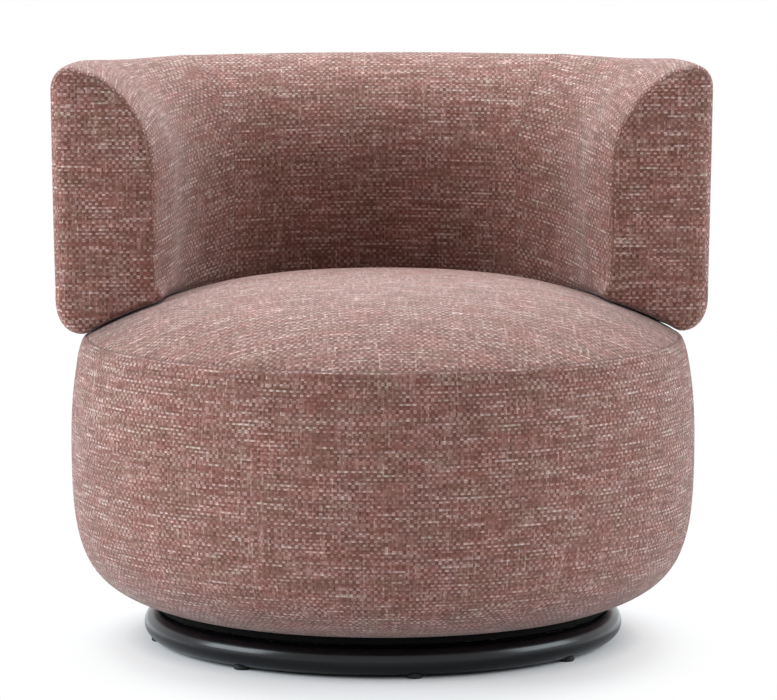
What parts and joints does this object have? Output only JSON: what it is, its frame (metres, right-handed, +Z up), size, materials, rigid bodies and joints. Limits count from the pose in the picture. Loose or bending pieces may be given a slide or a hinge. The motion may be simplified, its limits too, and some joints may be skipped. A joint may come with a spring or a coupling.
{
  "type": "swivel armchair",
  "caption": "Upholstered barrel armchair: a domed drum seat with a wrap-round back, turning without a stop on a ball bearing over a low tubular ring base.",
  "frame": {"origin": "on the floor, on the swivel's vertical axis, which is also the middle of the ring base and of the drum", "axes": "+Z up, the chair faces -Y, and +X is to the left of someone sitting in it; the back wraps round the +Y side"},
  "size_m": [0.785, 0.761, 0.688],
  "materials": {
    "black_powder_coat": "satin powder coat",
    "zinc_plated_steel": "zinc plated",
    "bearing_steel": "polished",
    "turned_aluminium": "turned",
    "natural_nylon": "moulded",
    "black_rubber": "matte",
    "black_stained_plywood": "black stain",
    "birch_plywood": "raw",
    "beech": "planed",
    "hardboard": "raw fibreboard",
    "elastic_webbing": "woven elastic",
    "polyurethane_foam": "moulded foam",
    "terracotta_basket_weave": "coarse melange basket weave"
  },
  "bodies": {
    "base": {"base_ring": "black_powder_coat", "base_spider": "black_powder_coat", "glide_1": "black_rubber", "glide_2": "black_rubber", "glide_3": "black_rubber", "glide_4": "black_rubber", "glide_5": "black_rubber", "glide_6": "black_rubber", "glide_7": "black_rubber", "glide_8": "black_rubber", "bearing_inner_race": "turned_aluminium", "base_screw_1": "zinc_plated_steel", "base_screw_2": "zinc_plated_steel", "base_screw_3": "zinc_plated_steel", "base_screw_4": "zinc_plated_steel"},
    "bearing": {"ball_cage": "natural_nylon", "bearing_ball_1": "bearing_steel", "bearing_ball_2": "bearing_steel", "bearing_ball_3": "bearing_steel", "bearing_ball_4": "bearing_steel", "bearing_ball_5": "bearing_steel", "bearing_ball_6": "bearing_steel", "bearing_ball_7": "bearing_steel", "bearing_ball_8": "bearing_steel"},
    "seat": {"bearing_outer_race": "turned_aluminium", "seat_screw_1": "zinc_plated_steel", "seat_screw_2": "zinc_plated_steel", "seat_screw_3": "zinc_plated_steel", "seat_screw_4": "zinc_plated_steel", "plinth_board": "black_stained_plywood", "floor_board": "birch_plywood", "upright_1": "beech", "upright_2": "beech", "upright_3": "beech", "upright_4": "beech", "upright_5": "beech", "upright_6": "beech", "seat_ring_board": "birch_plywood", "drum_shell": "hardboard", "webbing_1": "elastic_webbing", "webbing_2": "elastic_webbing", "webbing_3": "elastic_webbing", "webbing_4": "elastic_webbing", "webbing_5": "elastic_webbing", "webbing_6": "elastic_webbing", "seat_cushion": "polyurethane_foam", "drum_padding": "polyurethane_foam", "seat_cover": "terracotta_basket_weave", "back_bracket_1": "zinc_plated_steel", "back_bracket_2": "zinc_plated_steel", "back_bracket_3": "zinc_plated_steel", "bracket_bolt_1": "zinc_plated_steel", "bracket_bolt_2": "zinc_plated_steel", "bracket_bolt_3": "zinc_plated_steel", "back_hoop": "black_powder_coat", "back_lower_rail": "black_powder_coat", "back_panel": "hardboard", "back_cushion": "polyurethane_foam", "back_cover": "terracotta_basket_weave"}
  },
  "joints": [
    {"name": "swivel", "type": "hinge", "parent": "base", "child": "seat", "pos_m": [0, 0, 0], "axis": [0, 0, 1], "continuous": true},
    {"name": "cage_roll", "type": "hinge", "parent": "base", "child": "bearing", "pos_m": [0, 0, 0], "axis": [0, 0, 1], "continuous": true}
  ],
  "couplings": [
    {"joint": "cage_roll", "follows": "swivel", "ratio": 0.519}
  ]
}
